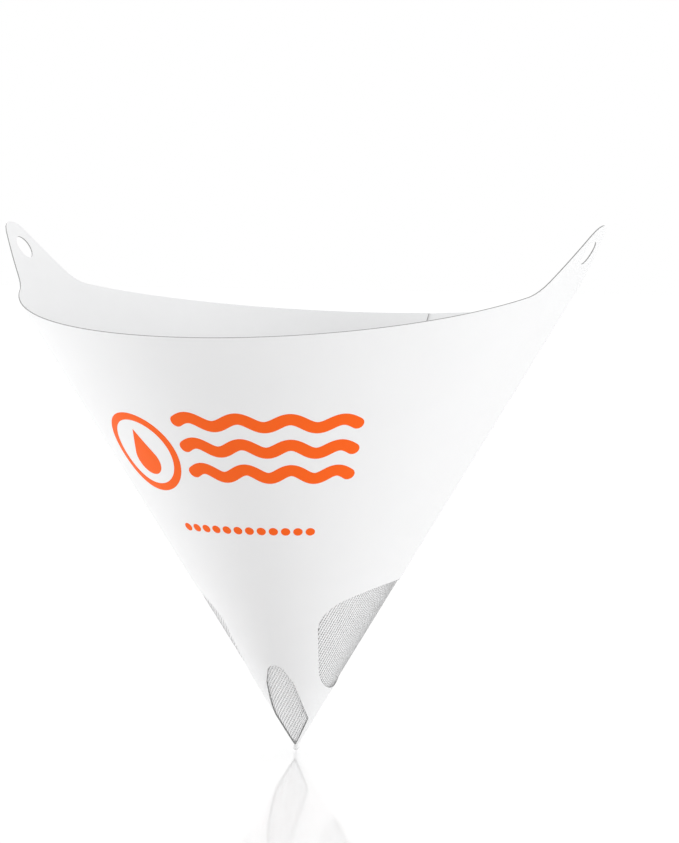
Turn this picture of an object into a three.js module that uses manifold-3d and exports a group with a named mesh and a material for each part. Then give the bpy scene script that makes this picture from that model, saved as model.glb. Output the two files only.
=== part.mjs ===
// Paint strainer: a cone rolled from one cut sheet of coated paper, with two hanging ears at its mouth
// and windows near its tip, and a cone of nylon net glued inside it behind the windows.
// Millimetres, +Z up, tip down. The origin lies on the axis, midway between the holes of the two ears.
// The front of the cone faces -Y, the ears lie on the X axis, and the glued seam is at the back, on +Y.

import * as THREE from "three";
import Module from "manifold-3d";

const wasm = await Module();
wasm.setup();

const degrees = THREE.MathUtils.degToRad;
const clamp = THREE.MathUtils.clamp;

// Cone: the angle between its axis and its side, and its blunt folded tip, a small ball
const HALF_ANGLE = degrees(31.2);
const PAPER = 0.3;
const TIP_RADIUS = 1;
const TIP_CENTRE_HEIGHT = 0.35;

// Mouth: slant lengths are measured along the paper, up from the tip of the cone
const RIM_SLANT = 138.5;
const RIM_ARC_RADIUS = 212;

// Ears: two rounded tabs that rise from the rim, each with a punched hole
const EAR_SLANT = 171;
const EAR_TIP_RADIUS = 6.7;
const EAR_SIDE_ANGLE = degrees(32.2);
const EAR_FILLET_RADIUS = 13.4;
const HOLE_BELOW_EAR_TOP = 8.5;
const HOLE_DIAMETER = 7;

// Side windows, one below each ear: a rounded triangle with its narrow end towards the tip
const SIDE_CROWN_SLANT = 56.8;
const SIDE_SHOULDER_SLANT = 42.8;
const SIDE_SHOULDER_SPREAD = 23.2;
const SIDE_SHOULDER_RADIUS = 9;
const SIDE_FOOT_SLANT = 20.8;
const SIDE_FOOT_RADIUS = 12.9;

// Front window: a tall arch that widens from its shoulders down to its hips and then narrows to the tip
const ARCH_CROWN_SLANT = 29.9;
const ARCH_CROWN_RADIUS = 2.6;
const ARCH_SHOULDER_SLANT = 22.6;
const ARCH_SHOULDER_WIDTH = 8.4;
const ARCH_SHOULDER_RADIUS = 2;
const ARCH_HIP_SLANT = 9.3;
const ARCH_HIP_WIDTH = 11.1;
const ARCH_HIP_RADIUS = 0.9;
const ARCH_FOOT_SLANT = 1.3;
const ARCH_FOOT_RADIUS = 0.35;

// Glued seam: the outer end of the sheet climbs onto the inner end and stops at the seam line
const LAP_TURN = degrees(11);
const LAP_RAMP_TURN = degrees(5);

// Net: one cone of nylon with its own lap, a glue film away from the paper
const GLUE_GAP = 0.3;
const NET = 0.5;
const NET_GLUE_BAND = 4.2;
const NET_LAP = 0.3;
const NET_LAP_FROM = degrees(38);
const NET_LAP_TO = degrees(57);

// Weave: square gaps that narrow outwards, so that the bars left between them are ridges
const WEAVE_PITCH = 4.2;
const WEAVE_ANGLE = degrees(36);
const WEAVE_GAP_INSIDE = 3.3;
const WEAVE_GAP_OUTSIDE = 2.3;
const WEAVE_BORDER = 0.4;

// Laps fade out between these slant lengths, and a lap's cut edge leans back by this turn
const LAP_FADE_FROM = 4;
const LAP_FADE_TO = 7;
const CUT_EDGE_TURN = degrees(0.4);

// How far a cutting block reaches past the faces that it cuts
const CUT_PAST = 0.25;

// Turns about the axis, measured from the front of the cone
const FRONT = 0;
const RIGHT_EAR = degrees(90);
const LEFT_EAR = degrees(-90);
const SEAM = degrees(180);

// How finely the round shapes are divided
const EAR_STEPS = [4, 3, 5, 13];
const TIP_STEPS = 3;
const NET_STEPS = 54;
const HOLE_STEPS = 24;
const CLOSEST_TURNS = degrees(1);
const SAME_POINT = 1e-6;

const sine = Math.sin(HALF_ANGLE);
const cosine = Math.cos(HALF_ANGLE);
const holeSlant = EAR_SLANT - HOLE_BELOW_EAR_TOP;
const hangHeight = holeSlant * cosine;

// A point at a distance from the axis, in the direction of a turn, at a height above the cone's tip
function aroundAxis(radius, turn, height) {
  return new THREE.Vector3(radius * Math.sin(turn), -radius * Math.cos(turn), height - hangHeight);
}

// A point of the cone, from its slant length, its turn and how far it lies outside the paper's face
function onCone(slant, turn, outside) {
  return aroundAxis(slant * sine + outside * cosine, turn, slant * cosine - outside * sine);
}

// A point of the flat sheet, across and along a centre line that lies at the given turn
function fromSheet(point, turn, outside) {
  const flatAngle = Math.atan2(point.x, point.y);
  return onCone(point.length(), turn + flatAngle / sine, outside);
}

// Evenly spaced numbers from one end to the other, both included
function spread(from, to, steps) {
  return Array.from({ length: steps + 1 }, (_, i) => from + ((to - from) * i) / steps);
}

// A solid from columns of points that stand side by side all the way round it, closed at both ends,
// where the columns meet in one shared point
function solidFromColumns(first, columns, last) {
  const rows = columns[0].length;
  const points = [first, last, ...columns.flat()];
  const corners = [];
  columns.forEach((_, i) => {
    const here = 2 + i * rows;
    const next = 2 + ((i + 1) % columns.length) * rows;
    corners.push(0, next, here);
    for (let j = 0; j + 1 < rows; j += 1) {
      corners.push(here + j, next + j, next + j + 1);
      corners.push(here + j, next + j + 1, here + j + 1);
    }
    corners.push(1, here + rows - 1, next + rows - 1);
  });
  return solidFromTriangles(points, corners);
}

// A solid from its points and triangles, turned the right way out
function solidFromTriangles(points, corners) {
  const vertProperties = Float32Array.from(points.flatMap((point) => point.toArray()));
  const triVerts = Uint32Array.from(corners);
  if (enclosedVolume(vertProperties, triVerts) < 0) triVerts.reverse();
  return new wasm.Manifold(new wasm.Mesh({ numProp: 3, vertProperties, triVerts }));
}

function enclosedVolume(positions, corners) {
  const at = (k) => new THREE.Vector3().fromArray(positions, 3 * corners[k]);
  let volume = 0;
  for (let k = 0; k < corners.length; k += 3) {
    volume += at(k).dot(at(k + 1).cross(at(k + 2))) / 6;
  }
  return volume;
}

// A point of a circle on the flat sheet. Angles run from straight up the sheet towards its right.
function onCircle(centre, radius, angle) {
  return new THREE.Vector2(centre.x + radius * Math.sin(angle), centre.y + radius * Math.cos(angle));
}

// Where a ray from the cone's tip meets a circle on the flat sheet: on its far side, 1, or near side, -1
function rayToCircle(ray, centre, radius, side) {
  const along = ray.dot(centre);
  return along + side * Math.sqrt(along ** 2 - centre.lengthSq() + radius ** 2);
}

// The sheet's upper edge to the right of an ear's centre line: the round top of the ear, its straight
// side, a hollow fillet and the long arc of the rim, which is level halfway to the next ear
function upperEdge() {
  const quarter = RIGHT_EAR * sine;
  const outward = new THREE.Vector2(Math.cos(EAR_SIDE_ANGLE), Math.sin(EAR_SIDE_ANGLE));
  const downward = new THREE.Vector2(Math.sin(EAR_SIDE_ANGLE), -Math.cos(EAR_SIDE_ANGLE));
  const earTop = new THREE.Vector2(0, EAR_SLANT - EAR_TIP_RADIUS);
  const rimCentre = onCircle(new THREE.Vector2(), RIM_SLANT - RIM_ARC_RADIUS, quarter);
  const sideReach = earTop.dot(outward) + EAR_TIP_RADIUS;
  const filletReach = sideReach + EAR_FILLET_RADIUS;
  const centresApart = RIM_ARC_RADIUS + EAR_FILLET_RADIUS;
  const rise = Math.sqrt(centresApart ** 2 - (filletReach - rimCentre.dot(outward)) ** 2);
  const fillet = outward.clone().multiplyScalar(filletReach);
  fillet.addScaledVector(downward, rimCentre.dot(downward) - rise);

  const joins = [
    earTop.clone().addScaledVector(outward, EAR_TIP_RADIUS),
    fillet.clone().addScaledVector(outward, -EAR_FILLET_RADIUS),
    rimCentre.clone().lerp(fillet, RIM_ARC_RADIUS / centresApart),
  ];
  const limits = [0, ...joins.map((join) => Math.atan2(join.x, join.y)), quarter];
  const slantAt = (flatAngle) => {
    const ray = new THREE.Vector2(Math.sin(flatAngle), Math.cos(flatAngle));
    if (flatAngle < limits[1]) return rayToCircle(ray, earTop, EAR_TIP_RADIUS, 1);
    if (flatAngle < limits[2]) return sideReach / ray.dot(outward);
    if (flatAngle < limits[3]) return rayToCircle(ray, fillet, EAR_FILLET_RADIUS, -1);
    return rayToCircle(ray, rimCentre, RIM_ARC_RADIUS, 1);
  };
  return { limits, slantAt };
}

const edge = upperEdge();

// Slant length from the tip to the upper edge. Ears and rim are alike in all four quarters of the turn.
function edgeSlant(turn) {
  const fromEar = Math.abs(Math.abs(turn) - RIGHT_EAR);
  return edge.slantAt(fromEar * sine);
}

// Turns at which the sheet is divided: close together at the ears, and at both edges of the seam's lap
function sheetTurns() {
  const beside = EAR_STEPS.flatMap((steps, k) => spread(edge.limits[k], edge.limits[k + 1], steps).slice(1));
  const offsets = beside.map((angle) => angle / sine);
  const quarters = [LEFT_EAR, RIGHT_EAR].flatMap((ear) => [
    ear,
    ...offsets.map((offset) => ear + offset),
    ...offsets.slice(0, -1).map((offset) => ear - offset),
  ]);
  const lapStart = SEAM - LAP_TURN;
  const lapTurns = [lapStart - LAP_RAMP_TURN, lapStart - CUT_EDGE_TURN, lapStart, SEAM, CUT_EDGE_TURN - SEAM];
  const clear = quarters.filter((turn) => lapTurns.every((other) => Math.abs(turn - other) > CLOSEST_TURNS));
  return [...clear, ...lapTurns].sort((a, b) => a - b);
}

// How much of a lap's step there is at a slant length: none at the tip, where the layers are pressed flat
function lapShare(slant) {
  return clamp((slant - LAP_FADE_FROM) / (LAP_FADE_TO - LAP_FADE_FROM), 0, 1);
}

// How far the paper's outer face has climbed onto the lap: 0 on the single sheet, 1 on the double one
function sheetRise(turn) {
  const rampStart = SEAM - LAP_TURN - LAP_RAMP_TURN;
  return clamp((turn - rampStart) / (LAP_RAMP_TURN - CUT_EDGE_TURN), 0, 1);
}

function paperOuter(turn, slant) {
  return PAPER * sheetRise(turn) * lapShare(slant);
}

// Inside, the climbing sheet leaves the axis side until the cut edge of the inner end fills the step
function paperInner(turn, slant) {
  const beforeLap = turn < SEAM - LAP_TURN;
  return -PAPER + (beforeLap ? paperOuter(turn, slant) : 0);
}

// A point of a cone's wall, whose faces move out or in with the turn and the slant length
function wallPoint(slant, turn, outsideAt) {
  return onCone(slant, turn, outsideAt(turn, slant));
}

// The rolled sheet before it is cut: up the outside from the ball at the tip, and down the inside
function rolledSheet() {
  const ballToCone = HALF_ANGLE + Math.asin((TIP_CENTRE_HEIGHT * sine) / TIP_RADIUS);
  const ballAngles = spread(degrees(180), ballToCone, TIP_STEPS).slice(1);
  const fades = [LAP_FADE_FROM, LAP_FADE_TO];
  const columns = sheetTurns().map((turn) => {
    const ball = ballAngles.map((angle) => {
      return aroundAxis(TIP_RADIUS * Math.sin(angle), turn, TIP_CENTRE_HEIGHT + TIP_RADIUS * Math.cos(angle));
    });
    const upwards = [...fades, edgeSlant(turn)];
    const outer = upwards.map((slant) => wallPoint(slant, turn, paperOuter));
    const inner = upwards.reverse().map((slant) => wallPoint(slant, turn, paperInner));
    return [...ball, ...outer, ...inner];
  });
  return solidFromColumns(
    aroundAxis(0, FRONT, TIP_CENTRE_HEIGHT - TIP_RADIUS),
    columns,
    aroundAxis(0, FRONT, PAPER / sine),
  );
}

// A block that cuts an outline of the flat sheet through the wall, square to the wall's faces
function windowBlock(outline, turn) {
  const furthest = Math.max(...outline.map((point) => point.length())) * sine + CUT_PAST;
  const widest = Math.max(...outline.map((point) => Math.atan2(point.x, point.y))) / sine;
  const middle = outline.reduce((sum, point) => sum + point.length() / outline.length, 0) * cosine;
  const columns = outline.map((point) => [
    fromSheet(point, turn, -PAPER - CUT_PAST),
    fromSheet(point, turn, CUT_PAST),
  ]);
  const outerEnd = aroundAxis(furthest / Math.cos(widest) + CUT_PAST, turn, middle);
  return solidFromColumns(aroundAxis(0, FRONT, middle), columns, outerEnd);
}

// The direction square to the straight line that touches two circles on their right
function touchingLine(upper, lower) {
  const span = upper.centre.clone().sub(lower.centre);
  const lean = Math.atan2(span.x, span.y);
  return lean + Math.acos(clamp((lower.radius - upper.radius) / span.length(), -1, 1));
}

// An outline that is the same on both sides of its centre line. Its right half wraps a chain of circles,
// from the crown on the centre line down to the foot on the centre line.
function wrapCircles(circles) {
  const directions = [0, degrees(180)];
  for (let k = 0; k + 1 < circles.length; k += 1) {
    directions.splice(k + 1, 0, touchingLine(circles[k], circles[k + 1]));
  }
  const right = circles.flatMap(({ centre, radius, steps }, k) =>
    spread(directions[k], directions[k + 1], steps).map((angle) => onCircle(centre, radius, angle)),
  );
  const apart = right.filter((point, k) => k === 0 || point.distanceTo(right[k - 1]) > SAME_POINT);
  const left = apart.slice(1, -1).map((point) => new THREE.Vector2(-point.x, point.y));
  return [...apart, ...left.reverse()];
}

// The crown's arc is as large as it takes to run smoothly into both shoulders
function sideWindowOutline() {
  const shoulder = new THREE.Vector2(SIDE_SHOULDER_SPREAD / 2, SIDE_SHOULDER_SLANT);
  const rise = SIDE_CROWN_SLANT - shoulder.y;
  const excess = shoulder.x ** 2 + rise ** 2 - SIDE_SHOULDER_RADIUS ** 2;
  const crownRadius = excess / (2 * (rise - SIDE_SHOULDER_RADIUS));
  const crown = new THREE.Vector2(0, SIDE_CROWN_SLANT - crownRadius);
  const foot = new THREE.Vector2(0, SIDE_FOOT_SLANT + SIDE_FOOT_RADIUS);
  return wrapCircles([
    { centre: crown, radius: crownRadius, steps: 8 },
    { centre: shoulder, radius: SIDE_SHOULDER_RADIUS, steps: 8 },
    { centre: foot, radius: SIDE_FOOT_RADIUS, steps: 7 },
  ]);
}

function archWindowOutline() {
  const crown = new THREE.Vector2(0, ARCH_CROWN_SLANT - ARCH_CROWN_RADIUS);
  const shoulder = new THREE.Vector2(ARCH_SHOULDER_WIDTH / 2 - ARCH_SHOULDER_RADIUS, ARCH_SHOULDER_SLANT);
  const hip = new THREE.Vector2(ARCH_HIP_WIDTH / 2 - ARCH_HIP_RADIUS, ARCH_HIP_SLANT);
  const foot = new THREE.Vector2(0, ARCH_FOOT_SLANT + ARCH_FOOT_RADIUS);
  return wrapCircles([
    { centre: crown, radius: ARCH_CROWN_RADIUS, steps: 6 },
    { centre: shoulder, radius: ARCH_SHOULDER_RADIUS, steps: 2 },
    { centre: hip, radius: ARCH_HIP_RADIUS, steps: 4 },
    { centre: foot, radius: ARCH_FOOT_RADIUS, steps: 3 },
  ]);
}

function earHoleOutline() {
  const centre = new THREE.Vector2(0, holeSlant);
  const angles = spread(0, degrees(360), HOLE_STEPS).slice(1);
  return angles.map((angle) => onCircle(centre, HOLE_DIAMETER / 2, angle));
}

const sideWindow = sideWindowOutline();
const windows = [
  { outline: archWindowOutline(), turn: FRONT },
  { outline: sideWindow, turn: RIGHT_EAR },
  { outline: sideWindow, turn: LEFT_EAR },
];
const earHoles = [RIGHT_EAR, LEFT_EAR].map((turn) => ({ outline: earHoleOutline(), turn }));

function paperCone() {
  const cuts = [...windows, ...earHoles].map(({ outline, turn }) => windowBlock(outline, turn));
  return cuts.reduce((sheet, block) => sheet.subtract(block), rolledSheet());
}

// The net's outer face keeps the glue film's distance from the paper, and its lap thickens it inwards
const netOuterFace = -PAPER - GLUE_GAP;

function netOuter() {
  return netOuterFace;
}

function netInner(turn, slant) {
  const inLap = turn >= NET_LAP_FROM && turn <= NET_LAP_TO;
  return netOuterFace - NET - (inLap ? NET_LAP * lapShare(slant) : 0);
}

function rolledNet() {
  const edges = [NET_LAP_FROM - CUT_EDGE_TURN, NET_LAP_FROM, NET_LAP_TO, NET_LAP_TO + CUT_EDGE_TURN];
  const even = spread(-SEAM, SEAM, NET_STEPS).slice(1);
  const clear = even.filter((turn) => edges.every((other) => Math.abs(turn - other) > CLOSEST_TURNS));
  const turns = [...clear, ...edges].sort((a, b) => a - b);
  const top = SIDE_CROWN_SLANT + NET_GLUE_BAND;
  const columns = turns.map((turn) => [
    wallPoint(top, turn, netOuter),
    ...[top, LAP_FADE_TO, LAP_FADE_FROM].map((slant) => wallPoint(slant, turn, netInner)),
  ]);
  const outerTip = aroundAxis(0, FRONT, -netOuterFace / sine);
  const innerTip = aroundAxis(0, FRONT, (NET - netOuterFace) / sine);
  return solidFromColumns(outerTip, columns, innerTip);
}

// A square gap of the weave on the net's flat sheet: the middle of each side, then the corner after it
function gapOutline(centre, size) {
  return [0, 90, 180, 270].flatMap((turned) => [
    onCircle(centre, size / 2, WEAVE_ANGLE + degrees(turned)),
    onCircle(centre, size * Math.SQRT1_2, WEAVE_ANGLE + degrees(turned + 45)),
  ]);
}

// A block that cuts one gap through the net, wider at the inner face than at the outer one
function gapBlock(centre) {
  const outerOutline = gapOutline(centre, WEAVE_GAP_OUTSIDE);
  const outerAt = netOuterFace + CUT_PAST;
  const innerAt = netOuterFace - NET - NET_LAP - CUT_PAST;
  const columns = gapOutline(centre, WEAVE_GAP_INSIDE).map((point, k) => [
    fromSheet(point, FRONT, innerAt),
    fromSheet(outerOutline[k], FRONT, outerAt),
  ]);
  return solidFromColumns(fromSheet(centre, FRONT, innerAt), columns, fromSheet(centre, FRONT, outerAt));
}

// Whether a point of the flat sheet lies within an outline, by counting the sides to its right
function within(outline, point) {
  return outline.reduce((inside, a, k) => {
    const b = outline[(k + 1) % outline.length];
    const beside = a.y > point.y !== b.y > point.y;
    const crossing = a.x + ((b.x - a.x) * (point.y - a.y)) / (b.y - a.y);
    return beside && point.x < crossing ? !inside : inside;
  }, false);
}

// Whether all of a gap, with a border round it, shows through one of the paper's windows
function showsThroughWindow(centre) {
  const corners = gapOutline(centre, WEAVE_GAP_OUTSIDE + 2 * WEAVE_BORDER);
  return windows.some(({ outline, turn }) => {
    const origin = new THREE.Vector2();
    return corners.every((corner) => within(outline, corner.clone().rotateAround(origin, turn * sine)));
  });
}

// Centres of the weave's gaps, on a square lattice laid over the net's flat sheet
function gapCentres() {
  const reach = Math.ceil(SIDE_CROWN_SLANT / WEAVE_PITCH);
  const across = onCircle(new THREE.Vector2(), WEAVE_PITCH, WEAVE_ANGLE);
  const along = onCircle(new THREE.Vector2(), WEAVE_PITCH, WEAVE_ANGLE + degrees(90));
  const steps = spread(-reach, reach, 2 * reach);
  const lattice = steps.flatMap((i) =>
    steps.map((j) => across.clone().multiplyScalar(i).addScaledVector(along, j)),
  );
  return lattice.filter(showsThroughWindow);
}

function nylonNet() {
  return gapCentres().map(gapBlock).reduce((net, block) => net.subtract(block), rolledNet());
}

const coatedPaper = new THREE.MeshStandardMaterial({ color: 0xf6f6f4, roughness: 0.42, metalness: 0 });
const nylon = new THREE.MeshStandardMaterial({ color: 0xdcdcda, roughness: 0.55, metalness: 0 });

function meshOf(name, solid, material) {
  const { vertProperties, triVerts } = solid.getMesh();
  const geometry = new THREE.BufferGeometry();
  geometry.setAttribute("position", new THREE.BufferAttribute(vertProperties, 3));
  geometry.setIndex(new THREE.BufferAttribute(triVerts, 1));
  const mesh = new THREE.Mesh(geometry, material);
  mesh.name = name;
  return mesh;
}

const strainer = new THREE.Group();
strainer.name = "paint_strainer";
strainer.add(meshOf("paper_cone", paperCone(), coatedPaper));
strainer.add(meshOf("nylon_net", nylonNet(), nylon));

export default strainer;
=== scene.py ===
# %% [markdown]
# A paint strainer is a cone rolled from one cut sheet of coated paper, with a smaller cone of woven nylon
# glued inside it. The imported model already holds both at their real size. This script gives them their
# finished surfaces: the paper is cut flat and rolled up again in code, and the net is woven thread by thread.

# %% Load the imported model
import math

import bpy
from mathutils import Matrix, Vector, geometry


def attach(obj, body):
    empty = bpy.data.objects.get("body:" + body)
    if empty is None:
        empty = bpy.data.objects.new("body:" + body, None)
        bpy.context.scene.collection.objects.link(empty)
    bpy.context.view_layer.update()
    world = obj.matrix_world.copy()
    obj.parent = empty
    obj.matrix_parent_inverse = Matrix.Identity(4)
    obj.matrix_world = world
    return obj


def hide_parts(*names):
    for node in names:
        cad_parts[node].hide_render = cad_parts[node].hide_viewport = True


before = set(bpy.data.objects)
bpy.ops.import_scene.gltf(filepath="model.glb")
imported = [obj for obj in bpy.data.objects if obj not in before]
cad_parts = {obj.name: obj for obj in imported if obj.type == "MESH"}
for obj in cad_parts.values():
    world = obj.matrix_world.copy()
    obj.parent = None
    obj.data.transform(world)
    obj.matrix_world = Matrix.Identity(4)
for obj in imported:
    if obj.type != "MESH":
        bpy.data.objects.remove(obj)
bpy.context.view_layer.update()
MM = 0.001

# %% [markdown]
# The camera comes first, because everything else is judged through it. It looks slightly down at the cone
# from its front right. The lens is long, so the cone's sides look straight and its ears little foreshortened.
# The aim is a point beside the axis, which puts the cone left of the picture's middle.

# %% Camera
CAMERA_TURN = math.radians(21.63)
CAMERA_RISE = math.radians(4.745)
CAMERA_DISTANCE = 836.8 * MM
AIM_RIGHT = 12.14 * MM
AIM_HEIGHT = -47.43 * MM
SENSOR = 36.0
LENS = 128.92

camera_data = bpy.data.cameras.new("camera")
camera_data.sensor_width = SENSOR
camera_data.lens = LENS
camera = bpy.data.objects.new("camera", camera_data)
bpy.context.scene.collection.objects.link(camera)
bpy.context.scene.camera = camera

to_right = Vector((math.cos(CAMERA_TURN), math.sin(CAMERA_TURN), 0))
to_camera = Vector((math.sin(CAMERA_TURN), -math.cos(CAMERA_TURN), math.tan(CAMERA_RISE))).normalized()
aim = to_right * AIM_RIGHT + Vector((0, 0, AIM_HEIGHT))
camera.location = aim + to_camera * CAMERA_DISTANCE
camera.rotation_euler = to_camera.to_track_quat("Z", "Y").to_euler()
print("camera at, mm:", [round(value / MM) for value in camera.location])

# %% [markdown]
# The cone is measured as the maker measures it: by its half angle and by slant lengths along the paper from
# the tip. A point of the flat sheet has a place across and along the sheet's centre line. Rolling it up keeps
# its distance from the tip and turns its flat angle into a larger turn about the axis.

# %% Measures of the cone
HALF_ANGLE = math.radians(31.2)
PAPER = 0.3 * MM
EAR_SLANT = 171 * MM
HOLE_BELOW_EAR_TOP = 8.5 * MM
SINE = math.sin(HALF_ANGLE)
COSINE = math.cos(HALF_ANGLE)
HOLE_SLANT = EAR_SLANT - HOLE_BELOW_EAR_TOP
HANG_HEIGHT = HOLE_SLANT * COSINE
FRONT = 0.0
RIGHT_EAR = math.radians(90)
LEFT_EAR = math.radians(-90)
SEAM = math.radians(180)


def on_cone(slant, turn, outside):
    """A point at a slant length and a turn about the axis, so far outside the paper's outer face."""
    radius = slant * SINE + outside * COSINE
    height = slant * COSINE - outside * SINE - HANG_HEIGHT
    return Vector((radius * math.sin(turn), -radius * math.cos(turn), height))


def on_sheet(across, along):
    """The slant length and the turn of a point of the flat sheet, whose centre line lies at the front."""
    return math.hypot(across, along), math.atan2(across, along) / SINE


def flat_point(slant, turn):
    """Where a slant length and a turn lie on the flat sheet."""
    return Vector((slant * math.sin(turn * SINE), slant * math.cos(turn * SINE)))


def spread(first, last, steps):
    """Evenly spaced numbers, both ends included."""
    return [first + (last - first) * i / steps for i in range(steps + 1)]


tip_height = on_cone(0, 0, 0).z
print("tip below the ear holes, mm:", round(-tip_height / MM, 1))

# %% [markdown]
# The sheet's upper edge is one long arc between the ears. Each ear is a round tab with straight sides that
# run out in hollow fillets. All four quarters are alike, so one function gives the edge's slant length at
# any turn: it sends a ray from the tip and meets the arc or the side line that lies on it.

# %% The sheet's upper edge
RIM_SLANT = 138.5 * MM
RIM_ARC_RADIUS = 212 * MM
EAR_TIP_RADIUS = 6.7 * MM
EAR_SIDE_ANGLE = math.radians(32.2)
EAR_FILLET_RADIUS = 13.4 * MM

quarter = RIGHT_EAR * SINE
outward = Vector((math.cos(EAR_SIDE_ANGLE), math.sin(EAR_SIDE_ANGLE)))
downward = Vector((math.sin(EAR_SIDE_ANGLE), -math.cos(EAR_SIDE_ANGLE)))
ear_top = Vector((0, EAR_SLANT - EAR_TIP_RADIUS))
rim_centre = (RIM_SLANT - RIM_ARC_RADIUS) * Vector((math.sin(quarter), math.cos(quarter)))
side_reach = ear_top.dot(outward) + EAR_TIP_RADIUS
fillet_reach = side_reach + EAR_FILLET_RADIUS
centres_apart = RIM_ARC_RADIUS + EAR_FILLET_RADIUS
fillet_rise = math.sqrt(centres_apart**2 - (fillet_reach - rim_centre.dot(outward)) ** 2)
fillet_centre = outward * fillet_reach + downward * (rim_centre.dot(downward) - fillet_rise)
joins = [
    ear_top + outward * EAR_TIP_RADIUS,
    fillet_centre - outward * EAR_FILLET_RADIUS,
    rim_centre.lerp(fillet_centre, RIM_ARC_RADIUS / centres_apart),
]
join_angles = [math.atan2(join.x, join.y) for join in joins]


def ray_to_circle(ray, centre, radius, side):
    """Distance along a ray from the tip to a circle: to its far side for 1, to its near side for -1."""
    along = ray.dot(centre)
    return along + side * math.sqrt(along**2 - centre.length_squared + radius**2)


def edge_slant(turn):
    """Slant length from the tip to the upper edge."""
    turn = math.remainder(turn, 2 * math.pi)
    flat_angle = abs(abs(turn) - RIGHT_EAR) * SINE
    ray = Vector((math.sin(flat_angle), math.cos(flat_angle)))
    if flat_angle < join_angles[0]:
        return ray_to_circle(ray, ear_top, EAR_TIP_RADIUS, 1)
    if flat_angle < join_angles[1]:
        return side_reach / ray.dot(outward)
    if flat_angle < join_angles[2]:
        return ray_to_circle(ray, fillet_centre, EAR_FILLET_RADIUS, -1)
    return ray_to_circle(ray, rim_centre, RIM_ARC_RADIUS, 1)


print("rim slant at the front, mm:", round(edge_slant(FRONT) / MM, 1))

# %% [markdown]
# The windows are punched with rounded dies, so each outline is a chain of circles with straight lines that
# touch them. Each window is the same on both sides of its centre line: only the right half is worked out.

# %% Window and hole outlines
SIDE_CROWN_SLANT = 56.8 * MM
SIDE_SHOULDER_SLANT = 42.8 * MM
SIDE_SHOULDER_SPREAD = 23.2 * MM
SIDE_SHOULDER_RADIUS = 9 * MM
SIDE_FOOT_SLANT = 20.8 * MM
SIDE_FOOT_RADIUS = 12.9 * MM
ARCH_CROWN_SLANT = 29.9 * MM
ARCH_CROWN_RADIUS = 2.6 * MM
ARCH_SHOULDER_SLANT = 22.6 * MM
ARCH_SHOULDER_WIDTH = 8.4 * MM
ARCH_SHOULDER_RADIUS = 2 * MM
ARCH_HIP_SLANT = 9.3 * MM
ARCH_HIP_WIDTH = 11.1 * MM
ARCH_HIP_RADIUS = 0.9 * MM
ARCH_FOOT_SLANT = 1.3 * MM
ARCH_FOOT_RADIUS = 0.35 * MM
HOLE_DIAMETER = 7 * MM
HOLE_STEPS = 48
ARC_STEPS = 24


def on_circle(centre, radius, angle):
    """A point of a circle. Angles run from straight up the sheet towards its right."""
    return centre + radius * Vector((math.sin(angle), math.cos(angle)))


def touching_line(upper, lower):
    """The direction square to the line that touches two circles on their right."""
    span = upper[0] - lower[0]
    overhang = (lower[1] - upper[1]) / span.length
    return math.atan2(span.x, span.y) + math.acos(max(-1, min(1, overhang)))


def wrap_circles(circles):
    """The outline round a chain of circles, from the crown down to the foot and mirrored back up."""
    pairs = zip(circles, circles[1:])
    directions = [0, *[touching_line(upper, lower) for upper, lower in pairs], math.pi]
    right = []
    for (centre, radius), first, last in zip(circles, directions, directions[1:]):
        right += [on_circle(centre, radius, angle) for angle in spread(first, last, ARC_STEPS)]
    left = [Vector((-point.x, point.y)) for point in right[-2:0:-1]]
    return right + left


def side_window():
    """A rounded triangle whose crown runs smoothly into its shoulders."""
    shoulder = Vector((SIDE_SHOULDER_SPREAD / 2, SIDE_SHOULDER_SLANT))
    rise = SIDE_CROWN_SLANT - SIDE_SHOULDER_SLANT
    excess = shoulder.x**2 + rise**2 - SIDE_SHOULDER_RADIUS**2
    crown_radius = excess / (2 * (rise - SIDE_SHOULDER_RADIUS))
    crown = (Vector((0, SIDE_CROWN_SLANT - crown_radius)), crown_radius)
    foot = (Vector((0, SIDE_FOOT_SLANT + SIDE_FOOT_RADIUS)), SIDE_FOOT_RADIUS)
    return wrap_circles([crown, (shoulder, SIDE_SHOULDER_RADIUS), foot])


def arch_window():
    """A tall arch with round shoulders that is widest at its hips and ends in a point near the tip."""
    crown = (Vector((0, ARCH_CROWN_SLANT - ARCH_CROWN_RADIUS)), ARCH_CROWN_RADIUS)
    shoulder_across = ARCH_SHOULDER_WIDTH / 2 - ARCH_SHOULDER_RADIUS
    shoulder = (Vector((shoulder_across, ARCH_SHOULDER_SLANT)), ARCH_SHOULDER_RADIUS)
    hip = (Vector((ARCH_HIP_WIDTH / 2 - ARCH_HIP_RADIUS, ARCH_HIP_SLANT)), ARCH_HIP_RADIUS)
    foot = (Vector((0, ARCH_FOOT_SLANT + ARCH_FOOT_RADIUS)), ARCH_FOOT_RADIUS)
    return wrap_circles([crown, shoulder, hip, foot])


def ear_hole():
    """A punched round hole."""
    centre = Vector((0, HOLE_SLANT))
    return [on_circle(centre, HOLE_DIAMETER / 2, angle) for angle in spread(0, 2 * math.pi, HOLE_STEPS)[1:]]


def turned(outline, turn):
    """An outline moved to a centre line at another turn, on the front's flat sheet."""
    return [flat_point(point.length, turn + math.atan2(point.x, point.y) / SINE) for point in outline]


cutouts = [
    turned(arch_window(), FRONT),
    turned(side_window(), RIGHT_EAR),
    turned(side_window(), LEFT_EAR),
    turned(ear_hole(), RIGHT_EAR),
    turned(ear_hole(), LEFT_EAR),
]
print("cut-outs:", len(cutouts))

# %% [markdown]
# The sheet is triangulated flat. Straight lines run from the tip to the upper edge, one for each degree or so
# of turn, and the triangulation keeps them as edges. A cone is straight along such lines, so the rolled sheet
# has round walls and clean cut edges with few faces. Triangles inside a cut-out are left out.

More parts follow.
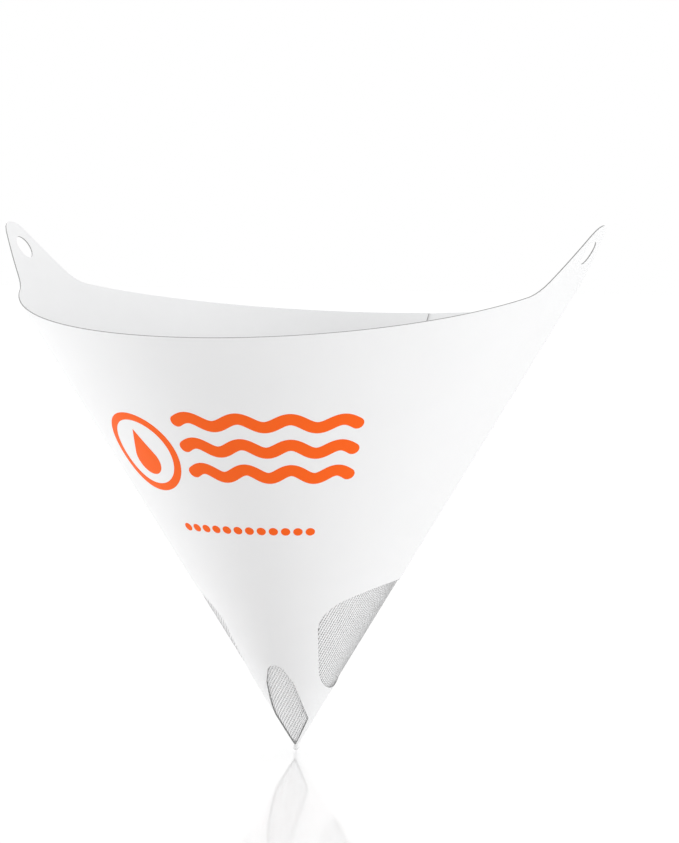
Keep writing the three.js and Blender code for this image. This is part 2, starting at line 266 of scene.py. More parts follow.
# %% The flat sheet, cut out
LAP_TURN = math.radians(11)
LAP_RAMP_TURN = math.radians(5)
SHEET_START = -SEAM - LAP_TURN
SHEET_FOOT_SLANT = 1.2 * MM
RAY_STEPS = 372
CLOSE = 1e-7


def inside(outline, point):
    """Whether a point lies within a closed outline, by counting the sides to its right."""
    crossings = 0
    for a, b in zip(outline, outline[1:] + outline[:1]):
        if (a.y > point.y) != (b.y > point.y):
            crossings += point.x < a.x + (b.x - a.x) * (point.y - a.y) / (b.y - a.y)
    return crossings % 2 == 1


def flat_mesh(points, edges, outlines_out, keep):
    """Triangulates flat points and edges, without what lies inside the outlines or fails the keep test."""
    corners, _, faces, *_ = geometry.delaunay_2d_cdt(points, edges, [], 0, CLOSE)
    kept = []
    for face in faces:
        middle = sum((corners[k] for k in face), Vector((0, 0))) / len(face)
        cut_away = any(inside(outline, middle) for outline in outlines_out)
        if keep(middle) and not cut_away:
            kept.append(face)
    return corners, kept


def loop_edges(first, count):
    """The edges of a closed loop of points."""
    return [(first + k, first + (k + 1) % count) for k in range(count)]


def cut_sheet():
    """The flat paper sheet, as points and triangles."""
    turns = spread(SHEET_START, SEAM, RAY_STEPS)
    points = [flat_point(SHEET_FOOT_SLANT, turn) for turn in turns]
    points += [flat_point(edge_slant(turn), turn) for turn in turns]
    count = len(turns)
    edges = [(k, count + k) for k in range(count)]
    edges += [(k, k + 1) for k in range(count - 1)]
    edges += [(count + k, count + k + 1) for k in range(count - 1)]
    border = points[:count] + points[count:][::-1]
    for outline in cutouts:
        edges += loop_edges(len(points), len(outline))
        points += outline
    return flat_mesh(points, edges, cutouts, keep=lambda middle: inside(border, middle))


sheet_points, sheet_faces = cut_sheet()
print("flat sheet:", len(sheet_points), "points,", len(sheet_faces), "triangles")

# %% [markdown]
# Rolling the flat triangles up gives the outer face, and the same triangles a paper's thickness further in
# give the inner face. A wall along every open edge closes the sheet to one solid. The outer end of the sheet
# climbs over the inner end at the back, which is the glued lap. Each corner keeps its place on the flat sheet
# as its UV place, so that prints and fibres follow the paper.

# %% Rolling a flat mesh up
LAP_CLEARANCE = 0.02 * MM
CUT_CREASE = math.radians(35)
SHEET_MAP = "flat_sheet"
UV_SPAN = 400 * MM
UV_CENTRE = Vector((0.5, 0.5))


def lifted(turn):
    """How far the sheet has climbed at a turn to pass over its own inner end."""
    climb = (turn - (SEAM - LAP_TURN - LAP_RAMP_TURN)) / LAP_RAMP_TURN
    return (PAPER + LAP_CLEARANCE) * max(0, min(1, climb))


def open_edges(faces):
    """Directed edges that belong to one triangle only."""
    directed = {(a, b) for face in faces for a, b in zip(face, face[1:] + face[:1])}
    return [(a, b) for a, b in directed if (b, a) not in directed]


def rolled_solid(name, points, faces, outer, inner, lift):
    """A closed solid between two offsets from the paper's outer face. Slot 1 is for its cut edges."""
    used = sorted({k for face in faces for k in face})
    index = {k: i for i, k in enumerate(used)}
    faces = [[index[k] for k in face] for face in faces]
    flat = [points[k] for k in used]
    turns = [on_sheet(point.x, point.y)[1] for point in flat]
    count = len(flat)
    corners = []
    for offset in (outer, inner):
        for point, turn in zip(flat, turns):
            corners.append(on_cone(point.length, turn, offset + lift(turn)))
    walls = [[b, a, count + a, count + b] for a, b in sorted(open_edges(faces))]
    inner_faces = [[count + k for k in reversed(face)] for face in faces]
    mesh = bpy.data.meshes.new(name)
    mesh.from_pydata(corners, [], faces + inner_faces + walls)
    place = mesh.uv_layers.new(name=SHEET_MAP)
    for loop in mesh.loops:
        point = flat[loop.vertex_index % count]
        place.data[loop.index].uv = point / UV_SPAN + UV_CENTRE
    for polygon in mesh.polygons[2 * len(faces):]:
        polygon.material_index = 1
    mesh.shade_smooth()
    mesh.set_sharp_from_angle(angle=CUT_CREASE)
    piece = bpy.data.objects.new(name, mesh)
    bpy.context.scene.collection.objects.link(piece)
    return piece


paper = rolled_solid("paper_cone_sheet", sheet_points, sheet_faces, 0, -PAPER, lifted)
print("paper sheet:", len(paper.data.polygons), "faces")

# %% [markdown]
# The tip of the rolled sheet is pressed to a small blunt ball. It is turned round the axis from a short
# profile, and its upper end is closed inside the cone, where nobody sees it.

# %% Blunt tip
TIP_RADIUS = 1 * MM
TIP_CENTRE_HEIGHT = 0.35 * MM
TIP_STEPS = 14
TIP_SIDES = 48
TIP_CREASE = math.radians(50)


def blunt_tip():
    """A closed ball whose top is cut off level inside the cone."""
    top_angle = HALF_ANGLE + math.asin(TIP_CENTRE_HEIGHT * SINE / TIP_RADIUS)
    centre = Vector((0, 0, tip_height + TIP_CENTRE_HEIGHT))
    corners = [centre + Vector((0, 0, -TIP_RADIUS))]
    for angle in spread(math.pi, top_angle, TIP_STEPS)[1:]:
        for turn in spread(0, 2 * math.pi, TIP_SIDES)[1:]:
            side = Vector((math.sin(turn), -math.cos(turn), 0)) * math.sin(angle)
            corners.append(centre + TIP_RADIUS * (side + Vector((0, 0, math.cos(angle)))))
    corners.append(Vector((0, 0, corners[-1].z)))
    faces = []
    for k in range(TIP_SIDES):
        after = (k + 1) % TIP_SIDES
        faces.append([0, 1 + after, 1 + k])
        for row in range(TIP_STEPS - 1):
            low = 1 + row * TIP_SIDES
            faces.append([low + k, low + after, low + TIP_SIDES + after, low + TIP_SIDES + k])
        last = 1 + (TIP_STEPS - 1) * TIP_SIDES
        faces.append([last + k, last + after, len(corners) - 1])
    mesh = bpy.data.meshes.new("paper_tip")
    mesh.from_pydata(corners, [], faces)
    places = mesh.uv_layers.new(name=SHEET_MAP)
    for loop in mesh.loops:
        places.data[loop.index].uv = corners[loop.vertex_index].xy
    mesh.shade_smooth()
    mesh.set_sharp_from_angle(angle=TIP_CREASE)
    tip = bpy.data.objects.new("paper_tip", mesh)
    bpy.context.scene.collection.objects.link(tip)
    return tip


tip = blunt_tip()
print("tip:", len(tip.data.polygons), "faces")

# %% [markdown]
# Materials and the net's weave are node trees. One helper adds a node with its settings and links, and others
# make a noise pattern, mix two colours, tell direct sight from scattered light and start a material. With
# them, each tree below reads as a short list of what it is made of.

# %% Node helpers


def add_node(tree, kind, inputs=(), **settings):
    """Adds a node, sets its attributes, and sets or links its inputs by name or number."""
    node = tree.nodes.new(kind)
    for name, value in settings.items():
        setattr(node, name, value)
    for name, value in dict(inputs).items():
        if isinstance(value, bpy.types.NodeSocket):
            tree.links.new(value, node.inputs[name])
        else:
            node.inputs[name].default_value = value
    return node


def noise(tree, place, settings):
    """An uneven pattern of values from 0 to 1, read at a place on the piece."""
    return add_node(tree, "ShaderNodeTexNoise", {"Vector": place, **settings}).outputs["Fac"]


def mixed_colour(tree, share, first, second):
    """A colour between two others, by a share from 0 to 1."""
    inputs = {"Factor": share, "A": first, "B": second}
    return add_node(tree, "ShaderNodeMix", inputs, data_type="RGBA").outputs["Result"]


def seen_directly(tree):
    """1 for camera, reflected and transmitted rays, and 0 for the light on matt surfaces."""
    path = add_node(tree, "ShaderNodeLightPath")
    seen = add_node(tree, "ShaderNodeMath", {
        0: path.outputs["Is Camera Ray"], 1: path.outputs["Is Glossy Ray"],
    }, operation="MAXIMUM")
    return add_node(tree, "ShaderNodeMath", {
        0: seen.outputs[0], 1: path.outputs["Is Transmission Ray"],
    }, operation="MAXIMUM").outputs[0]


def new_material(name):
    """An empty material with its output node."""
    material = bpy.data.materials.new(name)
    material.use_nodes = True
    tree = material.node_tree
    tree.nodes.clear()
    return material, tree, tree.nodes.new("ShaderNodeOutputMaterial")


# %% [markdown]
# The paper is bleached board with a thin satin coat. Its colour is nearly even, with faint fibre clouds. The
# coat follows the fibres only a little, so the bump is fine and low, and the gloss varies slightly from place
# to place. The pattern reads the flat sheet's UV places, so it is rolled up with the paper. A cut edge shows
# bare fibres, so it is matt and a little greyer. Most of its dark grey is painted shade that outlines the
# windows.

# %% Coated paper
PAPER_COLOUR = (0.86, 0.862, 0.865, 1)
PAPER_CLOUD_COLOUR = (0.835, 0.837, 0.842, 1)
CLOUDS = {"Scale": 28.0, "Detail": 5.0, "Roughness": 0.6}
FIBRES = {"Scale": 900.0, "Detail": 3.0, "Distortion": 0.6}
FIBRE_BUMP = 0.12
FIBRE_HEIGHT = 0.03 * MM
COAT_ROUGHNESS = (0.36, 0.46)
COAT_IOR = 1.45
# Painted shade: the cut edges' dark greys stand in for the shade along the window outlines; bare fibres alone
# are only a little greyer.
CUT_EDGE_SHADE_COLOUR = (0.4, 0.4, 0.395, 1)
CUT_FIBRE_SHADE_COLOUR = (0.28, 0.28, 0.28, 1)
CUT_GRAIN = {"Scale": 2500.0, "Detail": 2.0}
CUT_ROUGHNESS = 0.8


def coated_paper():
    """White coated paper with faint fibre clouds and a soft sheen."""
    material, tree, output = new_material("coated_paper")
    place = add_node(tree, "ShaderNodeUVMap", uv_map=SHEET_MAP).outputs["UV"]
    clouds = noise(tree, place, CLOUDS)
    smoothest, roughest = COAT_ROUGHNESS
    gloss = add_node(tree, "ShaderNodeMapRange", {
        "Value": clouds, "To Min": smoothest, "To Max": roughest,
    })
    bump = add_node(tree, "ShaderNodeBump", {
        "Height": noise(tree, place, FIBRES), "Strength": FIBRE_BUMP, "Distance": FIBRE_HEIGHT,
    })
    surface = add_node(tree, "ShaderNodeBsdfPrincipled", {
        "Base Color": mixed_colour(tree, clouds, PAPER_COLOUR, PAPER_CLOUD_COLOUR),
        "Roughness": gloss.outputs["Result"],
        "Normal": bump.outputs["Normal"],
        "IOR": COAT_IOR,
    })
    tree.links.new(surface.outputs["BSDF"], output.inputs["Surface"])
    return material


def cut_edge_painted_shade():
    """Bare fibres of a cut edge: matt, a little greyer, and dark grey from painted shade."""
    material, tree, output = new_material("cut_edge_painted_shade")
    place = add_node(tree, "ShaderNodeTexCoord").outputs["Object"]
    grain = noise(tree, place, CUT_GRAIN)
    surface = add_node(tree, "ShaderNodeBsdfPrincipled", {
        "Base Color": mixed_colour(tree, grain, CUT_EDGE_SHADE_COLOUR, CUT_FIBRE_SHADE_COLOUR),
        "Roughness": CUT_ROUGHNESS,
    })
    tree.links.new(surface.outputs["BSDF"], output.inputs["Surface"])
    return material


paper_coat = coated_paper()
paper_edge = cut_edge_painted_shade()
paper.data.materials.append(paper_coat)
paper.data.materials.append(paper_edge)
tip.data.materials.append(paper_coat)
for piece in (paper, tip):
    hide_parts("paper_cone")
    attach(piece, "root")

# %% [markdown]
# The net is woven of fine nylon threads that were pressed flat by heat. One set lies on the other, and each
# thread still dips a little at every second crossing. The net is cut flat, as one sector with the weave
# aslant, and rolled up like the paper, a little way inside it. Its last stretch passes inside its first,
# which is its glued lap. Near the tip there is no room for that step, so it fades out there.

# %% Measures of the net
NET_PITCH = 0.78 * MM
WARP_WIDTH = 0.42 * MM
WEFT_WIDTH = 0.7 * MM
THREAD_THICKNESS = 0.045 * MM
THREAD_LIFT = 0.042 * MM
THREAD_CRIMP = 0.012 * MM
SIDE_MARK = "thread_side"
SIDE_FACING = 0.5
NET_TOP_SLANT = 61 * MM
NET_FOOT_SLANT = 2.2 * MM
NET_OUTSIDE = -0.42 * MM
NET_LAP_FROM = math.radians(38)
NET_LAP_TO = math.radians(57)
NET_LAP_RAMP = math.radians(6)
NET_LAP_DEPTH = 0.3 * MM
NET_FADE_FROM = 8 * MM
NET_FADE_TO = 18 * MM
WEAVE_ANGLE = math.radians(40)

net_first_turn = NET_LAP_FROM
net_last_turn = NET_LAP_TO + 2 * math.pi
net_middle_turn = (net_first_turn + net_last_turn) / 2
net_half_angle = (net_last_turn - net_middle_turn) * SINE
weave_on_net = WEAVE_ANGLE - net_middle_turn * SINE
print("net sector, degrees:", round(math.degrees(2 * net_half_angle), 1))

# %% [markdown]
# Geometry Nodes suit the net, because its thousands of crossings follow one rule. They lay parallel threads
# as rows of points, one at each crossing. They lift the points by the weave's height and turn them to its
# angle. They delete what lies outside the sector, give each row the section of a flat thread, and roll the
# threads up. The tree makes one set of threads, so it runs twice, once for each direction.

# %% The net's node tree


class FieldMath:
    """Short names for the maths nodes of one tree."""

    def __init__(self, tree):
        self.tree = tree

    def scalar(self, operation, *values):
        """A maths node's result."""
        inputs = dict(enumerate(values))
        return add_node(self.tree, "ShaderNodeMath", inputs, operation=operation).outputs[0]

    def apart(self, vector):
        """The parts of a vector."""
        return add_node(self.tree, "ShaderNodeSeparateXYZ", {0: vector}).outputs

    def joined(self, x, y, z):
        """A vector from its parts."""
        return add_node(self.tree, "ShaderNodeCombineXYZ", {0: x, 1: y, 2: z}).outputs[0]


def named_inputs(tree, floats):
    """Declares a tree's geometry output and its named inputs, and returns the input node's outputs."""
    sockets = tree.interface
    sockets.new_socket("Geometry", in_out="OUTPUT", socket_type="NodeSocketGeometry")
    for name in floats:
        sockets.new_socket(name, in_out="INPUT", socket_type="NodeSocketFloat")
    sockets.new_socket("Material", in_out="INPUT", socket_type="NodeSocketMaterial")
    return tree.nodes.new("NodeGroupInput").outputs


def parallel_threads(tree, given):
    """Rows of points at the crossings of a square lattice, joined along the lattice's Y direction."""
    maths = FieldMath(tree)
    half_count = maths.scalar("CEIL", maths.scalar("DIVIDE", given["Top slant"], given["Pitch"]))
    count = maths.scalar("MULTIPLY_ADD", half_count, 2.0, 1.0)
    start = maths.scalar("MULTIPLY", maths.scalar("MULTIPLY", half_count, given["Pitch"]), -1.0)
    rows = add_node(tree, "GeometryNodeMeshLine", {
        "Count": count, "Start Location": maths.joined(start, 0.0, 0.0),
        "Offset": maths.joined(given["Pitch"], 0.0, 0.0),
    }, mode="OFFSET")
    row = add_node(tree, "GeometryNodeMeshLine", {
        "Count": count, "Start Location": maths.joined(0.0, start, 0.0),
        "Offset": maths.joined(0.0, given["Pitch"], 0.0),
    }, mode="OFFSET")
    copies = add_node(tree, "GeometryNodeInstanceOnPoints", {
        "Points": rows.outputs[0], "Instance": row.outputs[0],
    })
    return add_node(tree, "GeometryNodeRealizeInstances", {0: copies.outputs[0]}).outputs[0]


def woven_and_turned(tree, given, threads):
    """Lifts the threads off the other set, more at every second crossing, and turns them aslant."""
    maths = FieldMath(tree)
    position = tree.nodes.new("GeometryNodeInputPosition").outputs[0]
    x, y, _ = maths.apart(position)
    crossing = maths.scalar("DIVIDE", maths.scalar("ADD", x, y), given["Pitch"])
    wave = maths.scalar("COSINE", maths.scalar("MULTIPLY", crossing, math.pi))
    lift = maths.scalar("MULTIPLY_ADD", wave, given["Crimp"], given["Lift"])
    height = maths.scalar("MULTIPLY", lift, given["Side"])
    turned_place = add_node(tree, "ShaderNodeVectorRotate", {
        "Vector": maths.joined(x, y, height),
        "Angle": maths.scalar("MULTIPLY", given["Weave angle"], -1.0),
    }, rotation_type="Z_AXIS").outputs[0]
    return add_node(tree, "GeometryNodeSetPosition", {
        "Geometry": threads, "Position": turned_place,
    }).outputs[0]


def flat_place(tree):
    """The slant length, flat angle and height above the sheet of a point of the flat net."""
    maths = FieldMath(tree)
    x, y, height = maths.apart(tree.nodes.new("GeometryNodeInputPosition").outputs[0])
    squares = maths.scalar("ADD", maths.scalar("MULTIPLY", x, x), maths.scalar("MULTIPLY", y, y))
    return maths.scalar("SQRT", squares), maths.scalar("ARCTAN2", x, y), height


def cut_to_sector(tree, given, threads):
    """Deletes what lies above the net's top edge, below its foot or beside its two straight edges."""
    maths = FieldMath(tree)
    slant, angle, _ = flat_place(tree)
    beyond = [
        maths.scalar("GREATER_THAN", slant, given["Top slant"]),
        maths.scalar("LESS_THAN", slant, given["Foot slant"]),
        maths.scalar("GREATER_THAN", maths.scalar("ABSOLUTE", angle), given["Half sheet angle"]),
    ]
    outside = maths.scalar("MAXIMUM", maths.scalar("MAXIMUM", beyond[0], beyond[1]), beyond[2])
    return add_node(tree, "GeometryNodeDeleteGeometry", {
        "Geometry": threads, "Selection": outside,
    }, domain="POINT").outputs[0]


def thickened(tree, given, threads):
    """Gives each flat row of points the section of a flat thread with four corners, and marks its sides."""
    maths = FieldMath(tree)
    curves = add_node(tree, "GeometryNodeMeshToCurve", {"Mesh": threads}).outputs[0]
    upright = add_node(tree, "GeometryNodeSetCurveNormal", {"Curve": curves}, mode="Z_UP").outputs[0]
    ring = add_node(tree, "GeometryNodeCurvePrimitiveCircle", {"Resolution": 4, "Radius": 1.0}).outputs[0]
    square = add_node(tree, "GeometryNodeTransform", {
        "Geometry": ring, "Rotation": (0, 0, math.pi / 4), "Scale": (math.sqrt(2), math.sqrt(2), 1),
    }).outputs[0]
    section = add_node(tree, "GeometryNodeTransform", {
        "Geometry": square, "Scale": maths.joined(given["Half width"], given["Half thickness"], 1.0),
    }).outputs[0]
    mesh = add_node(tree, "GeometryNodeCurveToMesh", {
        "Curve": upright, "Profile Curve": section, "Fill Caps": True,
    }).outputs[0]
    # The side mark lets the material paint shade on the threads' sides.
    _, _, facing_up = maths.apart(tree.nodes.new("GeometryNodeInputNormal").outputs[0])
    is_side = maths.scalar("LESS_THAN", maths.scalar("ABSOLUTE", facing_up), SIDE_FACING)
    return add_node(tree, "GeometryNodeStoreNamedAttribute", {
        "Geometry": mesh, "Name": SIDE_MARK, "Value": is_side,
    }, data_type="FLOAT", domain="FACE").outputs[0]


def rolled_up(tree, given, threads):
    """Rolls the flat threads to a cone. Their last stretch passes inside their first: the net's lap."""
    maths = FieldMath(tree)
    slant, angle, height = flat_place(tree)
    turn = maths.scalar("ADD", maths.scalar("DIVIDE", angle, SINE), given["Middle turn"])
    step_in = add_node(tree, "ShaderNodeMapRange", {
        "Value": turn, "From Min": given["Lap ramp turn"], "From Max": given["Lap turn"],
        "To Min": 0.0, "To Max": given["Lap depth"],
    }).outputs[0]
    lap_share = add_node(tree, "ShaderNodeMapRange", {
        "Value": slant, "From Min": given["Lap fade from"], "From Max": given["Lap fade to"],
    }).outputs[0]
    faded_step = maths.scalar("MULTIPLY", step_in, lap_share)
    outside = maths.scalar("SUBTRACT", maths.scalar("ADD", height, given["Outside"]), faded_step)
    radius = maths.scalar("MULTIPLY_ADD", slant, SINE, maths.scalar("MULTIPLY", outside, COSINE))
    fall = maths.scalar("MULTIPLY_ADD", outside, SINE, HANG_HEIGHT)
    level = maths.scalar("SUBTRACT", maths.scalar("MULTIPLY", slant, COSINE), fall)
    x = maths.scalar("MULTIPLY", radius, maths.scalar("SINE", turn))
    y = maths.scalar("MULTIPLY", maths.scalar("MULTIPLY", radius, maths.scalar("COSINE", turn)), -1.0)
    return add_node(tree, "GeometryNodeSetPosition", {
        "Geometry": threads, "Position": maths.joined(x, y, level),
    }).outputs[0]


def net_tree():
    """The whole tree: lay the threads, weave, cut, thicken, roll up, and set the material."""
    tree = bpy.data.node_groups.new("woven_net_cone", "GeometryNodeTree")
    given = named_inputs(tree, [
        "Pitch", "Half width", "Half thickness", "Lift", "Crimp", "Side", "Weave angle",
        "Top slant", "Foot slant", "Half sheet angle", "Middle turn", "Outside",
        "Lap ramp turn", "Lap turn", "Lap depth", "Lap fade from", "Lap fade to",
    ])
    threads = parallel_threads(tree, given)
    threads = woven_and_turned(tree, given, threads)
    threads = cut_to_sector(tree, given, threads)
    threads = thickened(tree, given, threads)
    threads = rolled_up(tree, given, threads)
    real = add_node(tree, "GeometryNodeRealizeInstances", {0: threads}).outputs[0]
    finished = add_node(tree, "GeometryNodeSetMaterial", {
        "Geometry": real, "Material": given["Material"],
    }).outputs[0]
    add_node(tree, "NodeGroupOutput", {0: finished})
    return tree


def grown(tree, name, values):
    """Runs a tree on an empty mesh and returns what it made as a plain mesh object."""
    seed = bpy.data.objects.new(name + "_seed", bpy.data.meshes.new(name + "_seed"))
    bpy.context.scene.collection.objects.link(seed)
    modifier = seed.modifiers.new("grow", "NODES")
    modifier.node_group = tree
    for item in tree.interface.items_tree:
        if item.in_out == "INPUT":
            modifier[item.identifier] = values[item.name]
    evaluated = seed.evaluated_get(bpy.context.evaluated_depsgraph_get())
    mesh = bpy.data.meshes.new_from_object(evaluated)
    mesh.name = name
    bpy.data.objects.remove(seed)
    piece = bpy.data.objects.new(name, mesh)
    bpy.context.scene.collection.objects.link(piece)
    return piece


# %% [markdown]
# Nylon thread is milky and slightly shiny. Light enters it and scatters, so the net glows a little where
# light falls on its far side. The tree marks the sides of the threads, and the material paints them dark:
# painted shade, as if they lay in each other's shade. That draws the fine lines of the weave, and it darkens
# the net towards its outline, where the sides show more.

# %% Nylon thread
NYLON_COLOUR = (0.97, 0.972, 0.975, 1)
NYLON_CLOUD_COLOUR = (0.95, 0.952, 0.956, 1)
# Painted shade: the dark colour given to the threads' sides.
NYLON_SIDE_SHADE_COLOUR = (0.15, 0.15, 0.15, 1)
NYLON_CLOUDS = {"Scale": 220.0, "Detail": 2.0}
NYLON_ROUGHNESS = 0.4
NYLON_GLOW_SHARE = 0.05


def nylon_thread():
    """Milky nylon with a soft gloss, and painted shade on the threads' sides."""
    material, tree, output = new_material("nylon_thread")
    place = add_node(tree, "ShaderNodeTexCoord").outputs["Object"]
    milky = mixed_colour(tree, noise(tree, place, NYLON_CLOUDS), NYLON_COLOUR, NYLON_CLOUD_COLOUR)
    side = add_node(tree, "ShaderNodeAttribute", attribute_name=SIDE_MARK)
    shaded = mixed_colour(tree, side.outputs["Fac"], milky, NYLON_SIDE_SHADE_COLOUR)
    body = add_node(tree, "ShaderNodeBsdfPrincipled", {
        "Base Color": shaded, "Roughness": NYLON_ROUGHNESS,
    })
    glow = add_node(tree, "ShaderNodeBsdfTranslucent", {"Color": shaded})
    surface = add_node(tree, "ShaderNodeMixShader", {
        0: NYLON_GLOW_SHARE, 1: body.outputs[0], 2: glow.outputs[0],
    })
    tree.links.new(surface.outputs[0], output.inputs["Surface"])
    return material


thread_material = nylon_thread()
net_weave = net_tree()
thread_sets = [
    ("net_warp", WARP_WIDTH, 1.0, weave_on_net),
    ("net_weft", WEFT_WIDTH, -1.0, weave_on_net + math.pi / 2),
]
for name, width, side, angle in thread_sets:
    threads = grown(net_weave, name, {
        "Pitch": NET_PITCH,
        "Half width": width / 2,
        "Half thickness": THREAD_THICKNESS / 2,
        "Lift": THREAD_LIFT,
        "Crimp": THREAD_CRIMP,
        "Side": side,
        "Weave angle": angle,
        "Top slant": NET_TOP_SLANT,
        "Foot slant": NET_FOOT_SLANT,
        "Half sheet angle": net_half_angle,
        "Middle turn": net_middle_turn,
        "Outside": NET_OUTSIDE,
        "Lap ramp turn": NET_LAP_FROM + 2 * math.pi - NET_LAP_RAMP,
        "Lap turn": NET_LAP_FROM + 2 * math.pi,
        "Lap depth": NET_LAP_DEPTH,
        "Lap fade from": NET_FADE_FROM,
        "Lap fade to": NET_FADE_TO,
        "Material": thread_material,
    })
    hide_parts("nylon_net")
    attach(threads, "root")
    print(name, len(threads.data.polygons), "faces")

# %% [markdown]
# The print is a thin layer of ink on the outside. The paper's material could show it, but here its outlines
# are drawn on the paper's flat sheet and rolled up with it. So the print wraps the cone without stretching
# and keeps sharp edges. It holds plain shapes only: a ring with a drop in it, three waves and a row of dots.

# %% Print
INK_OUTSIDE = 0.03 * MM
INK_INSIDE = 0.008 * MM
RAY_TURN = math.radians(1)
INK_COLOUR = (0.97, 0.115, 0.002, 1)
INK_CLOUD_COLOUR = (0.94, 0.128, 0.004, 1)
INK_MOTTLE = {"Scale": 160.0, "Detail": 4.0}
INK_ROUGHNESS = 0.5
INK_SPECULAR = 0.2


def orange_ink():
    """Opaque ink, duller than the paper's coat and laid down a little unevenly."""
    material, tree, output = new_material("orange_ink")
    place = add_node(tree, "ShaderNodeUVMap", uv_map=SHEET_MAP).outputs["UV"]
    surface = add_node(tree, "ShaderNodeBsdfPrincipled", {
        "Base Color": mixed_colour(tree, noise(tree, place, INK_MOTTLE), INK_COLOUR, INK_CLOUD_COLOUR),
        "Roughness": INK_ROUGHNESS,
        "Specular IOR Level": INK_SPECULAR,
    })
    tree.links.new(surface.outputs[0], output.inputs["Surface"])
    return material


def printed(name, outlines, holes):
    """A thin layer of ink inside flat outlines, without the holes."""
    points, edges = [], []
    for outline in outlines + holes:
        edges += loop_edges(len(points), len(outline))
        points += outline
    turns = [on_sheet(point.x, point.y)[1] for point in points]
    slants = [point.length for point in points]
    steps = max(2, round((max(turns) - min(turns)) / RAY_TURN))
    for turn in spread(min(turns), max(turns), steps):
        edges.append((len(points), len(points) + 1))
        points += [flat_point(min(slants), turn), flat_point(max(slants), turn)]

    def in_ink(middle):
        return any(inside(outline, middle) for outline in outlines)

    corners, faces = flat_mesh(points, edges, holes, keep=in_ink)
    return rolled_solid(name, corners, faces, INK_OUTSIDE, INK_INSIDE, lambda turn: 0)


def printed_piece(name, outlines, holes=()):
    """A print that rides with the paper."""
    piece = printed(name, outlines, list(holes))
    piece.data.materials.append(ink)
    piece.data.materials.append(ink)
    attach(piece, "root")
    print(name, len(piece.data.polygons), "faces")


ink = orange_ink()

# %% [markdown]
# The ring and its drop are drawn upright about the middle of a small sheet of their own, and then moved to
# their place on the cone. A ring is one circle with a smaller one cut out of it.

# %% A ring with a drop
EMBLEM_SLANT = 101 * MM
EMBLEM_TURN = math.radians(-28)
RING_RADIUS = 12.6 * MM
RING_LINE = 2.3 * MM
DROP_HEIGHT = 14.6 * MM
DROP_RADIUS = 4.6 * MM
ROUND_STEPS = 72


def circle(radius):
    """A circle about the middle of its own small sheet."""
    angles = spread(0, 2 * math.pi, ROUND_STEPS)[1:]
    return [on_circle(Vector((0, 0)), radius, angle) for angle in angles]


def drop():
    """A round drop whose straight sides meet in a point at its top."""
    apex = DROP_HEIGHT - DROP_RADIUS
    touch = math.acos(DROP_RADIUS / apex)
    low = Vector((0, DROP_RADIUS - DROP_HEIGHT / 2))
    angles = spread(touch, 2 * math.pi - touch, ROUND_STEPS)
    round_side = [on_circle(low, DROP_RADIUS, angle) for angle in angles]
    return [low + Vector((0, apex))] + round_side


def moved(outline, slant, turn):
    """A small outline moved to a place on the cone, upright along the paper there."""
    along = flat_point(1, turn)
    across = Vector((along.y, -along.x))
    return [flat_point(slant, turn) + across * point.x + along * point.y for point in outline]


ring_outline = moved(circle(RING_RADIUS), EMBLEM_SLANT, EMBLEM_TURN)
ring_hole = moved(circle(RING_RADIUS - RING_LINE), EMBLEM_SLANT, EMBLEM_TURN)
printed_piece("print_ring", [ring_outline], [ring_hole])
printed_piece("print_drop", [moved(drop(), EMBLEM_SLANT, EMBLEM_TURN)])

# %% [markdown]
# Each wave follows a sine about one slant length. Its outline keeps half the line's width to both sides,
# square to the line, and a half circle closes each end.

# %% Three waves
WAVE_SLANTS = [112 * MM, 103.8 * MM, 95.6 * MM]
WAVE_FROM = math.radians(-10)
WAVE_TO = math.radians(38.5)
WAVE_HEIGHT = 1.3 * MM
WAVE_COUNT = 3.5
WAVE_LINE = 3.6 * MM
WAVE_STEPS = 140
END_STEPS = 12


def wave(middle_slant):
    """A stripe of even width along a wave, with round ends."""
    line = []
    for share in spread(0, 1, WAVE_STEPS):
        slant = middle_slant + WAVE_HEIGHT * math.sin(2 * math.pi * WAVE_COUNT * share)
        line.append(flat_point(slant, WAVE_FROM + (WAVE_TO - WAVE_FROM) * share))
    above, below = [], []
    for k, point in enumerate(line):
        ahead = line[min(k + 1, WAVE_STEPS)] - line[max(k - 1, 0)]
        square = Vector((-ahead.y, ahead.x)).normalized() * (WAVE_LINE / 2)
        above.append(point + square)
        below.append(point - square)

    def round_end(middle, first):
        arm = first - middle
        turn = math.pi / END_STEPS
        return [middle + Matrix.Rotation(-turn * k, 2) @ arm for k in range(1, END_STEPS)]

    right_end = round_end(line[-1], above[-1])
    left_end = round_end(line[0], below[0])
    return above + right_end + below[::-1] + left_end


printed_piece("print_waves", [wave(slant) for slant in WAVE_SLANTS])

# %% [markdown]
# The dots are small circles at even turns on one slant length, so the row runs round the cone like its rim.

# %% A row of dots
DOT_SLANT = 76.6 * MM
DOT_RADIUS = 1.25 * MM
DOT_COUNT = 12
DOTS_FROM = math.radians(-24)
DOTS_TO = math.radians(28)

dot_turns = spread(DOTS_FROM, DOTS_TO, DOT_COUNT - 1)
printed_piece("print_dots", [moved(circle(DOT_RADIUS), DOT_SLANT, turn) for turn in dot_turns])

# %% [markdown]
# The strainer can't stand: in use it hangs by its ears. In the picture its tip just touches a plain glossy
# white floor under a white backdrop. The floor is a pale plane that mirrors a little, so it keeps the cone's
# shadow and reflection. A faint glow that only the camera and reflections see lifts it to white, and the
# world does the same for the backdrop.

# %% Floor and backdrop
FLOOR_SIZE = 6.0
FLOOR_GAP = 0.2 * MM
FLOOR_COLOUR = (0.95, 0.95, 0.95, 1)
FLOOR_ROUGHNESS = 0.08
FLOOR_IOR = 2.0
FLOOR_GLOW = 0.06
WHITE = (1, 1, 1, 1)


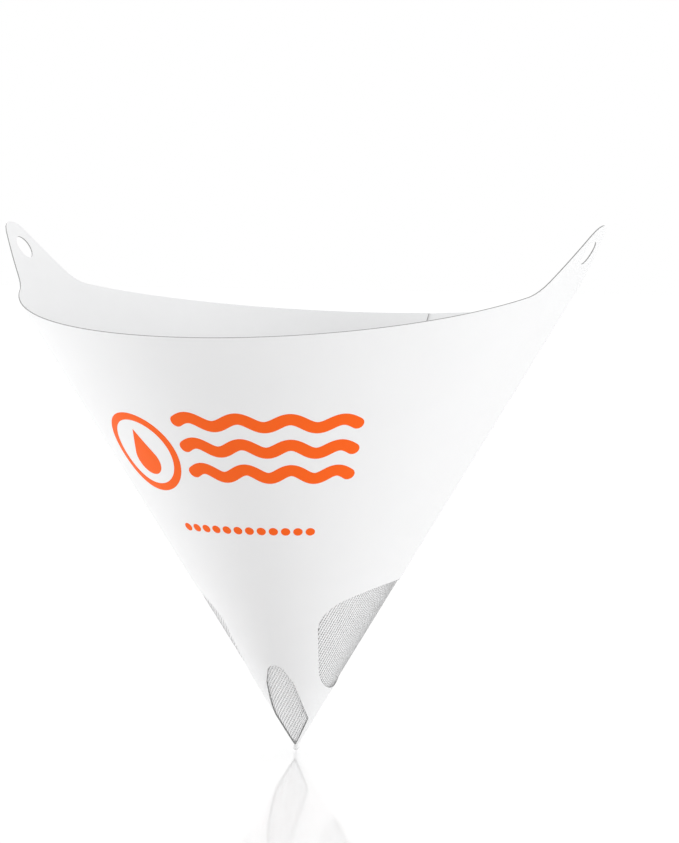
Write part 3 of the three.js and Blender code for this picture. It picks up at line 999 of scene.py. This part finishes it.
def white_stage():
    """A floor that is white to the camera, keeps a soft shadow and mirrors a little."""
    material, tree, output = new_material("white_floor")
    glow = {0: seen_directly(tree), 1: FLOOR_GLOW}
    strength = add_node(tree, "ShaderNodeMath", glow, operation="MULTIPLY")
    surface = add_node(tree, "ShaderNodeBsdfPrincipled", {
        "Base Color": FLOOR_COLOUR,
        "Roughness": FLOOR_ROUGHNESS,
        "IOR": FLOOR_IOR,
        "Emission Color": WHITE,
        "Emission Strength": strength.outputs[0],
    })
    tree.links.new(surface.outputs[0], output.inputs["Surface"])
    return material


def plane(name, corners, material):
    """A flat stage surface."""
    mesh = bpy.data.meshes.new(name)
    mesh.from_pydata(corners, [], [[0, 1, 2, 3]])
    mesh.materials.append(material)
    surface = bpy.data.objects.new(name, mesh)
    bpy.context.scene.collection.objects.link(surface)


floor_height = tip_height + TIP_CENTRE_HEIGHT - TIP_RADIUS - FLOOR_GAP
half_floor = FLOOR_SIZE / 2
plane("floor", [
    (-half_floor, -half_floor, floor_height),
    (half_floor, -half_floor, floor_height),
    (half_floor, half_floor, floor_height),
    (-half_floor, half_floor, floor_height),
], white_stage())

# %% [markdown]
# Two soft lamps stand beside the cone, one at each ear. The paper between them faces neither of them, which
# draws the soft grey band down its front. A pale world gives most of the light, so no shadow is hard, and
# the lamps only shape the paper's tones.

# %% Light
WORLD_LIGHT = 0.9
LAMP_DISTANCE = 1.3
LAMP_HEIGHT = 0.12
LAMP_SIZE = 0.5
LEFT_TURN = math.radians(-84)
LEFT_POWER = 6.2
RIGHT_TURN = math.radians(90)
RIGHT_POWER = 4.9


def soft_lamp(name, turn, power):
    """A square lamp that faces the middle of the cone."""
    data = bpy.data.lights.new(name, "AREA")
    data.shape = "SQUARE"
    data.size = LAMP_SIZE
    data.energy = power
    lamp = bpy.data.objects.new(name, data)
    lamp.location = (LAMP_DISTANCE * math.sin(turn), -LAMP_DISTANCE * math.cos(turn), LAMP_HEIGHT)
    to_lamp = lamp.location - Vector((0, 0, AIM_HEIGHT))
    lamp.rotation_euler = to_lamp.to_track_quat("Z", "Y").to_euler()
    bpy.context.scene.collection.objects.link(lamp)


soft_lamp("left_softbox", LEFT_TURN, LEFT_POWER)
soft_lamp("right_softbox", RIGHT_TURN, RIGHT_POWER)

world = bpy.data.worlds.new("studio")
world.use_nodes = True
bpy.context.scene.world = world
sky = world.node_tree
sky.nodes.clear()
brightness = add_node(sky, "ShaderNodeMix", {"Factor": seen_directly(sky), "A": WORLD_LIGHT, "B": 1.0})
studio = add_node(sky, "ShaderNodeBackground", {0: WHITE, 1: brightness.outputs["Result"]})
add_node(sky, "ShaderNodeOutputWorld", {0: studio.outputs[0]})
bpy.context.scene.view_settings.view_transform = "Standard"
